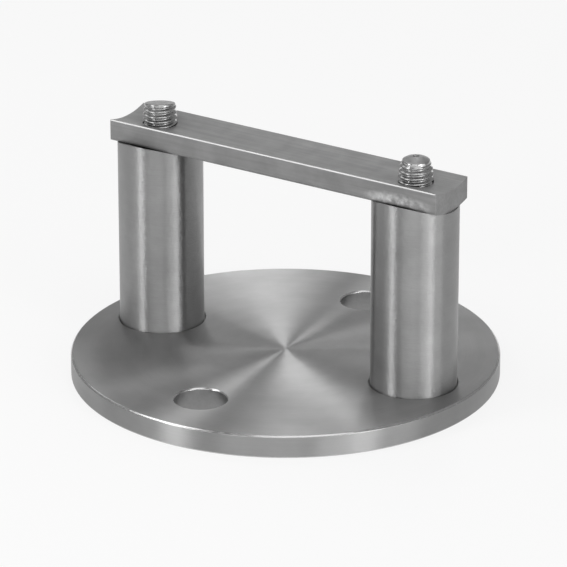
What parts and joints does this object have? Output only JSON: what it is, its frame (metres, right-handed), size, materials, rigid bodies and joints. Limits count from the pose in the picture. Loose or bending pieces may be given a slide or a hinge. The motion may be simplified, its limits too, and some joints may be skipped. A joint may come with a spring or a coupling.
{
  "type": "wall flange",
  "caption": "Round wall flange whose coped spacer tubes carry a trough-section saddle strip, held by long countersunk screws with free threaded ends for a round rail.",
  "frame": {"origin": "centre of the base plate's back face, which lies against the wall", "axes": "+Z away from the wall, along the screws; +X along the saddle strip, towards the screw with the domed point; the anchor holes lie on Y"},
  "size_m": [0.1, 0.1, 0.0606],
  "materials": {
    "turned_stainless": "face turned, with fine concentric brushing",
    "brushed_tube": "ground round the tube, satin",
    "blasted_strip": "matt, fine blasted grain",
    "screw_steel": "bright rolled thread"
  },
  "bodies": {
    "root": {"base_plate": "turned_stainless", "spacer_tube_left": "brushed_tube", "spacer_tube_right": "brushed_tube", "saddle_strip": "blasted_strip", "screw_left": "screw_steel", "screw_right": "screw_steel"}
  },
  "joints": []
}
